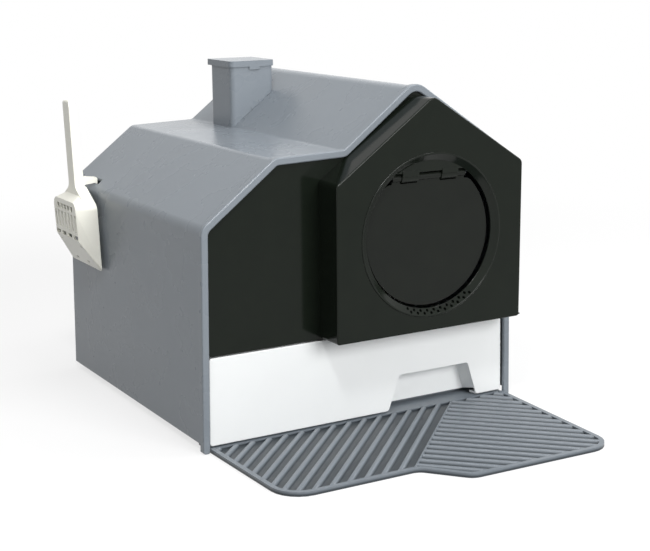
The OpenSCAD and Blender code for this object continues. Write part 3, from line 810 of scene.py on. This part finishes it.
    def world(self) -> None:
        """Fills the shadows softly, and shows white behind the object."""
        world = bpy.data.worlds.new("studio air")
        world.use_nodes = True
        tree = world.node_tree
        tree.nodes.clear()
        strength = add_node(
            tree,
            "ShaderNodeMapRange",
            {"Value": self.seen(tree), "To Min": self.fill, "To Max": 1.0},
        )
        air = add_node(
            tree,
            "ShaderNodeBackground",
            {"Color": WHITE, "Strength": strength.outputs["Result"]},
        )
        add_node(tree, "ShaderNodeOutputWorld", {"Surface": air.outputs["Background"]})
        bpy.context.scene.world = world


# ---- the litter box ----


GREY = MouldedPolypropylene(
    "satin grey polypropylene", "#7a8188", "#7f868d", roughness=0.28, specular=0.32
)
MAT_GREY = MouldedPolypropylene(
    "satin grey mat polypropylene",
    "#70777e",
    "#757c83",
    roughness=0.36,
    specular=0.32,
    # Painted shade for the troughs between the mat's ribs
    trough_shade="#363c41",
)
DRAWER_WHITE = MouldedPolypropylene("white polypropylene", "#e6e8e8", "#eaecec", roughness=0.34)
IVORY = MouldedPolypropylene(
    "ivory polypropylene", "#f7f6ea", "#f9f8ee", roughness=0.36, specular=0.3
)
BLACK = PolishedStyrene(
    "polished black styrene", "#121712", "#161b15", roughness=0.12, specular=0.14
)
RING_BLACK = PolishedStyrene(
    "polished black ring styrene", "#121712", "#161b15", roughness=0.1, specular=0.18
)
# Paler colour and full specular: a painted highlight that gives the eased black edges a thin
# bright line
BLACK_HIGHLIGHT_EDGE = PolishedStyrene(
    "black styrene painted highlight edge", "#383936", "#3f403c", roughness=0.2, specular=1.0
)
SMOKED = PolishedStyrene(
    "smoked door styrene", "#161916", "#1a1d19", roughness=0.2, specular=0.14
)
# Paler colour: a painted highlight on the door's eased edges
SMOKED_HIGHLIGHT_EDGE = PolishedStyrene(
    "smoked styrene painted highlight edge", "#2a2c29", "#30322e", roughness=0.2, specular=0.4
)
ZINC = ZincPlatedSteel()
FOAM = CarbonFoam()


@dataclass
class Cabinet:
    """The grey house: shell, back wall and base."""

    def pieces(self) -> list[MouldedPiece]:
        """Lists the pieces, whose edges are already round in the construction."""
        nodes = ("cabinet_shell", "rear_panel", "base_tray")
        return [MouldedPiece(node, Body.CABINET, Slot.GREY, GREY) for node in nodes]


@dataclass
class Entry:
    """The black front with its porch, the ring and the swinging door."""

    panel_ease_mm: float = 1.2
    ring_ease_mm: float = 0.5
    door_ease_mm: float = 0.8

    def pieces(self) -> list[MouldedPiece]:
        """Lists the pieces, with paler edges painted as highlights."""
        return [
            MouldedPiece(
                "front_panel", Body.CABINET, Slot.BLACK, BLACK, BLACK_HIGHLIGHT_EDGE, self.panel_ease_mm
            ),
            MouldedPiece(
                "entry_ring", Body.CABINET, Slot.BLACK, RING_BLACK, BLACK_HIGHLIGHT_EDGE, self.ring_ease_mm
            ),
            MouldedPiece(
                "flap_door", Body.DOOR, Slot.SMOKED, SMOKED, SMOKED_HIGHLIGHT_EDGE, self.door_ease_mm
            ),
        ]


@dataclass
class Drawer:
    """The litter pan and its front."""

    ease_mm: float = 0.8

    def pieces(self) -> list[MouldedPiece]:
        """Lists the pieces."""
        return [
            MouldedPiece(node, Body.DRAWER, Slot.WHITE, DRAWER_WHITE, ease_mm=self.ease_mm)
            for node in ("litter_pan", "drawer_front")
        ]


@dataclass
class Chimney:
    """The filter chimney with its grid, filter and lid."""

    ease_mm: float = 0.8

    def pieces(self) -> list[MouldedPiece]:
        """Lists the pieces; the grid's fine bars and the foam keep their edges."""
        return [
            MouldedPiece("chimney_body", Body.CABINET, Slot.GREY, GREY, ease_mm=self.ease_mm),
            MouldedPiece("filter_grid", Body.CABINET, Slot.GREY, GREY),
            MouldedPiece("charcoal_filter", Body.FILTER, Slot.FOAM, FOAM),
            MouldedPiece("chimney_lid", Body.LID, Slot.GREY, GREY, ease_mm=self.ease_mm),
        ]


@dataclass
class CatchingMat:
    """The ribbed mat in front of the drawer."""

    ease_mm: float = 0.5

    def pieces(self) -> list[MouldedPiece]:
        """Lists the one piece."""
        return [MouldedPiece("litter_mat", Body.MAT, Slot.MAT, MAT_GREY, ease_mm=self.ease_mm)]


@dataclass
class SiftingScoop:
    """The scoop that hangs on the roof."""

    ease_mm: float = 0.8

    def pieces(self) -> list[MouldedPiece]:
        """Lists the one piece."""
        return [MouldedPiece("scoop", Body.SCOOP, Slot.IVORY, IVORY, ease_mm=self.ease_mm)]


@dataclass
class LitterBox:
    """The whole litter box.

    Attributes:
        shelf: Where the materials come from.
        metal_endings: How the names of the plated nodes end.
    """

    frame: dict
    shelf: FinishShelf = field(default_factory=FinishShelf)
    metal_endings: tuple[str, ...] = ("_screws", "_pin")

    def build(self) -> None:
        """Builds every sub-assembly in order, then plates the metal."""
        parts = (Cabinet(), Entry(), Drawer(), Chimney(), CatchingMat(), SiftingScoop())
        for part in parts:
            for piece in part.pieces():
                piece.build(self.frame, self.shelf)
        self.plate_metal()

    def plate_metal(self) -> None:
        """Gives the screws and pins their plating."""
        plating = self.shelf.material(ZINC)
        for name, obj in self.frame["nodes"].items():
            if name.endswith(self.metal_endings):
                for slot in obj.material_slots:
                    slot.material = plating
                LOG.info("%s: plated", name)


def main() -> None:
    """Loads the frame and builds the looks."""
    logging.basicConfig(level=logging.INFO, format="%(message)s")
    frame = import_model()
    Studio().build()
    LitterBox(frame).build()


if __name__ == "__main__":
    main()
